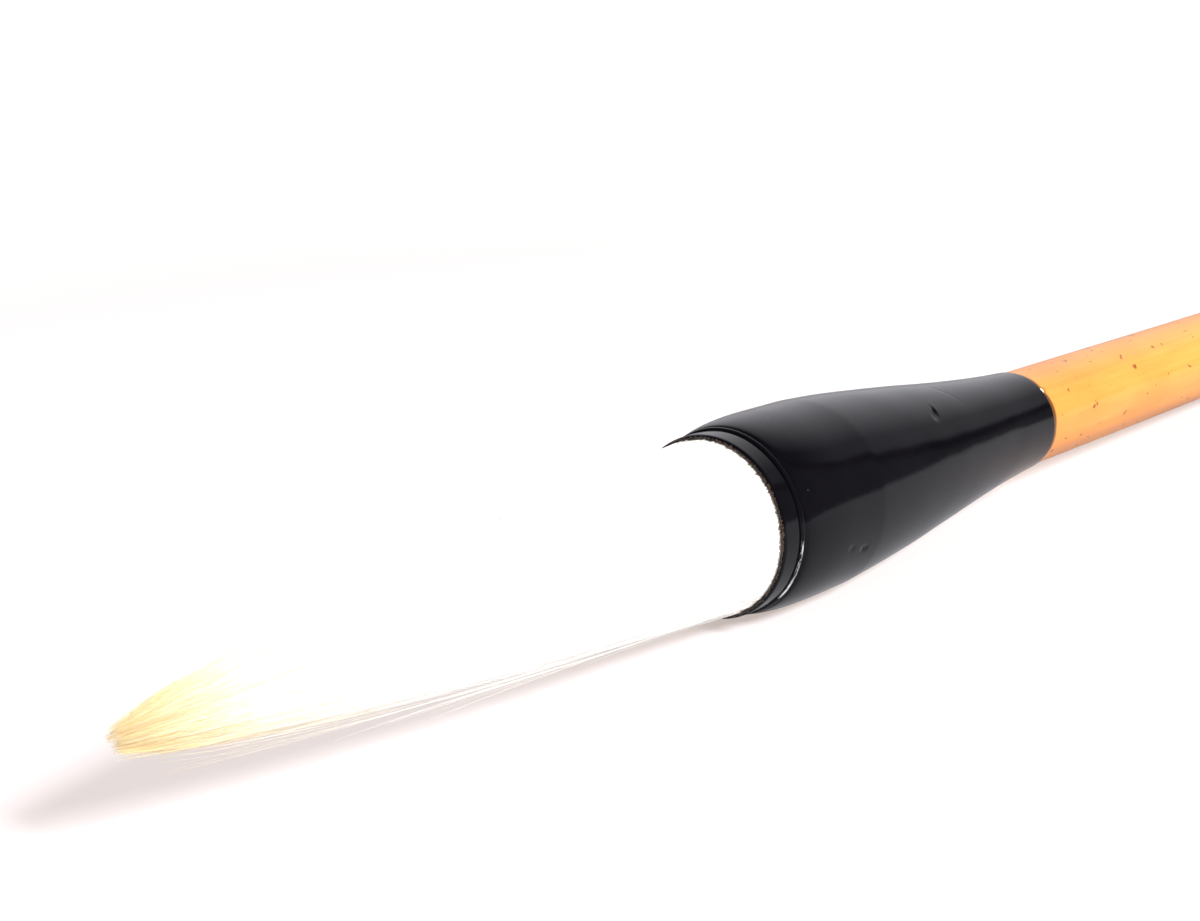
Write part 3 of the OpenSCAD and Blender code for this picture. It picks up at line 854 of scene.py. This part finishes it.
outline, knobCentre = capOutline()
station, radius = spreadOutline(outline, cap["columns"])
capPiece = turnedPiece("tailCap", station, radius, False)
toolReach = cap["knob"] * cordHole["reach"]
reachAcross = np.linspace(-toolReach, toolReach, cordHole["rows"])
pastFlare = np.clip((np.abs(reachAcross) - cordHole["flareFrom"]) / cordHole["flareOver"], 0, 3)
holeRadius = cordHole["radius"] + cordHole["flare"] * pastFlare ** 2
angle = roundAngles(cordHole["columns"])
knobMiddle = onBrush(np.array(knobCentre), 0.0, 0.0)
cutterPoints = (knobMiddle + mm * (reachAcross[:, None, None] * sideways
                + (holeRadius[:, None] * np.cos(angle))[..., None] * along
                + (holeRadius[:, None] * np.sin(angle))[..., None] * upward))
ends = knobMiddle + mm * reachAcross[[0, -1], None] * sideways
cutter = makeMesh("cordHoleTool", np.concatenate([cutterPoints.reshape(-1, 3), ends]),
                  gridQuads(cordHole["rows"], cordHole["columns"]),
                  endFans(cordHole["rows"], cordHole["columns"]))
boolean = capPiece.modifiers.new("cordHole", "BOOLEAN")
boolean.operation = "DIFFERENCE"
boolean.solver = "EXACT"
boolean.object = cutter
bpy.context.view_layer.update()
cutCap = capPiece.evaluated_get(bpy.context.evaluated_depsgraph_get())
cutMesh = bpy.data.meshes.new_from_object(cutCap)
capPiece.modifiers.clear()
capPiece.data = cutMesh
bpy.data.objects.remove(cutter)
capPiece.data.set_sharp_from_angle(angle=math.radians(40))
finishPiece(capPiece, ferruleMaterial, "handle", "cap_black", "tail_cap")
print("handle and tail cap made")

# Thread binding: a waxed thread wound round the tied root
binding = {"start": 10.0, "width": 5.0, "turns": 10, "thread": 0.24, "radius": 8.26, "perTurn": 48,
           "sides": 10, "plies": 23, "plyDepth": 0.06, "slack": 0.95}
steps, sides = binding["turns"] * binding["perTurn"], binding["sides"]
share = np.linspace(0, 1, steps)
turnAngle = share * binding["turns"] * 2 * np.pi
# a helix: its station grows evenly with its angle
threadStation = binding["start"] + binding["thread"] + share * (binding["width"] - 2 * binding["thread"])
centre = onBrush(threadStation, binding["radius"], turnAngle)
outwards = spokes(turnAngle)[0]
around = roundAngles(sides)
plies = 1 + binding["plyDepth"] * np.sin(turnAngle[:, None] * binding["plies"] + around * 2)
size = binding["thread"] * plies * binding["slack"]
points = centre[:, None] + mm * size[..., None] * (np.cos(around)[None, :, None] * outwards[:, None]
                                                  + np.sin(around)[None, :, None] * along)
thread = makeMesh("bindingThread", np.concatenate([points.reshape(-1, 3), centre[[0, -1]]]),
                  gridQuads(steps, sides), endFans(steps, sides))
finishPiece(thread, threadMaterial, "handle", "binding_thread", "root_binding")

# CAD pieces that keep their own shape get a finish
for node, material in (("root_seal", rosinMaterial), ("socket_glue", glueMaterial),
                       ("spigot_glue", glueMaterial), ("dowel_glue", glueMaterial),
                       ("tail_dowel", dowelMaterial)):
    mesh = frame["nodes"][node].data
    mesh.materials.clear()
    mesh.materials.append(material)
print("small pieces finished")

# The table, its glow and how far out that grows
stage = {"floorSize": 14.0, "floorColour": (0.50, 0.495, 0.52), "sweepFrom": 0.2, "sweepTo": 0.9,
         "sweep": 0.2, "seenSweep": 0.8, "glow": 0.53, "glowColour": (1.0, 0.87, 0.80)}
half = stage["floorSize"] / 2
floorMesh = bpy.data.meshes.new("floor")
floorMesh.from_pydata([(-half, -half, 0), (half, -half, 0), (half, half, 0), (-half, half, 0)], [],
                      [(0, 1, 2, 3)])
floor = bpy.data.objects.new("floor", floorMesh)
bpy.context.scene.collection.objects.link(floor)
floorMaterial, tree, shader = newMaterial("paleTable", 0.6)
shader.inputs["Base Color"].default_value = (*stage["floorColour"], 1.0)
shader.inputs["Specular IOR Level"].default_value = 0.1
# the table runs into a white sweep away from the brush
coordinate = addNode(tree, "ShaderNodeTexCoord")
distance = addNode(tree, "ShaderNodeVectorMath", {0: coordinate.outputs["Object"]}, operation="LENGTH")
away = mapRange(tree, distance.outputs["Value"], stage["sweepFrom"], stage["sweepTo"])
# and is a little overexposed to the camera, which keeps its shadows light and warm
seen = addNode(tree, "ShaderNodeLightPath").outputs["Is Camera Ray"]
glow = mathNode(tree, "ADD", mathNode(tree, "MULTIPLY", away, stage["seenSweep"]), stage["glow"])
emission = mathNode(tree, "ADD", mathNode(tree, "MULTIPLY", seen, glow),
                    mathNode(tree, "MULTIPLY", away, stage["sweep"]))
shader.inputs["Emission Color"].default_value = (*stage["glowColour"], 1.0)
tree.links.new(emission, shader.inputs["Emission Strength"])
floor.data.materials.append(floorMaterial)

# The world is a pale ceiling panel that the lacquer mirrors, dark below its front edge. A direction's
# lean is Y + Z * panelEdge + (X - panelMiddle) * panelTurn. Each pair is where a change begins and ends
light = {
    "panelEdge": 0.89,        # how far the panel leans forward, against its height
    "panelTurn": 0.9,         # and how far that edge is turned in plan
    "panelMiddle": 0.83,
    "panelFrom": (-0.01, 0.02), "nearSpan": (0.70, 0.86), "farSpan": (0.25, 0.95),
    "panelNear": (0.06, 0.36), "panelFar": 1.3, "farSide": (-0.3, 0.6), "farShare": (0.25, 1.0),
    "room": 0.12, "roomSpan": (-0.16, -0.10), "seenWorld": 1.1, "colour": (0.95, 0.94, 1.0),
    "keyPower": 15.0, "keySize": 0.22, "keyDistance": 0.95, "keyElevation": 37.0, "keyAzimuth": -9.0,
    "fillPower": 3.0, "fillSize": 1.4, "fillPlace": (-0.62, -0.32, 0.42),
    "topPower": 0.6, "topSize": 0.9, "topPlace": (0.0, 0.1, 0.9),
}
world = bpy.data.worlds.new("studio")
bpy.context.scene.world = world
world.use_nodes = True
tree = world.node_tree
direction = addNode(tree, "ShaderNodeTexCoord").outputs["Generated"]
parts = addNode(tree, "ShaderNodeSeparateXYZ", {"Vector": direction})
lean = mathNode(tree, "ADD", parts.outputs["Y"],
                mathNode(tree, "MULTIPLY", parts.outputs["Z"], light["panelEdge"]))
offset = mathNode(tree, "SUBTRACT", parts.outputs["X"], light["panelMiddle"])
lean = mathNode(tree, "ADD", lean, mathNode(tree, "MULTIPLY", offset, light["panelTurn"]))
near = mapRange(tree, parts.outputs["X"], *light["nearSpan"], *light["panelNear"])
far = mapRange(tree, lean, *light["farSpan"], 0.0, light["panelFar"])
farShare = mapRange(tree, parts.outputs["X"], *light["farSide"], *light["farShare"])
glowing = mathNode(tree, "ADD", near, mathNode(tree, "MULTIPLY", far, farShare))
panel = mathNode(tree, "MULTIPLY", mapRange(tree, lean, *light["panelFrom"]), glowing)
room = mapRange(tree, lean, *light["roomSpan"], light["room"], 0.0)
lit = mathNode(tree, "ADD", panel, room)
cameraRay = addNode(tree, "ShaderNodeLightPath").outputs["Is Camera Ray"]
background = tree.nodes["Background"]
background.inputs["Color"].default_value = (*light["colour"], 1.0)
# the camera itself sees plain white behind the table
seenWorld = mathNode(tree, "MULTIPLY", cameraRay, light["seenWorld"])
tree.links.new(mathNode(tree, "MAXIMUM", lit, seenWorld), background.inputs["Strength"])


def addLamp(name, power, size, place):
    # a square lamp facing the brush, which the lacquer does not mirror
    lamp = bpy.data.lights.new(name, "AREA")
    lamp.energy = power
    lamp.size = size
    lampObject = bpy.data.objects.new(name, lamp)
    lampObject.location = place
    lampObject.rotation_euler = (-Vector(place)).to_track_quat("-Z", "Y").to_euler()
    lampObject.visible_glossy = False
    bpy.context.scene.collection.objects.link(lampObject)


keyElevation = math.radians(light["keyElevation"])
keyAzimuth = math.radians(light["keyAzimuth"])
keyPlace = light["keyDistance"] * np.array([
    math.cos(keyElevation) * math.sin(keyAzimuth), -math.cos(keyElevation) * math.cos(keyAzimuth),
    math.sin(keyElevation)])
addLamp("keyLight", light["keyPower"], light["keySize"], tuple(keyPlace))
addLamp("fillLight", light["fillPower"], light["fillSize"], light["fillPlace"])
addLamp("topLight", light["topPower"], light["topSize"], light["topPlace"])

# the camera's place is metres from the middle of the ferrule's mouth
view = {"azimuth": -49.79, "elevation": 15.496, "fromMouth": (-0.13860, -0.10312, 0.05484),
        "lens": 54.0, "sensor": 36.0}
azimuth, elevation = math.radians(view["azimuth"]), math.radians(view["elevation"])
camera = bpy.data.cameras.new("camera")
camera.lens = view["lens"]
camera.sensor_width = view["sensor"]
camera.clip_start, camera.clip_end = 0.01, 30.0
cameraObject = bpy.data.objects.new("camera", camera)
cameraObject.location = tuple(mouth + np.array(view["fromMouth"]))
cameraObject.rotation_euler = (math.pi / 2 - elevation, 0.0, azimuth)
bpy.context.scene.collection.objects.link(cameraObject)
bpy.context.scene.camera = cameraObject
bpy.context.scene.view_settings.view_transform = "Standard"
print("stage, light and camera made")
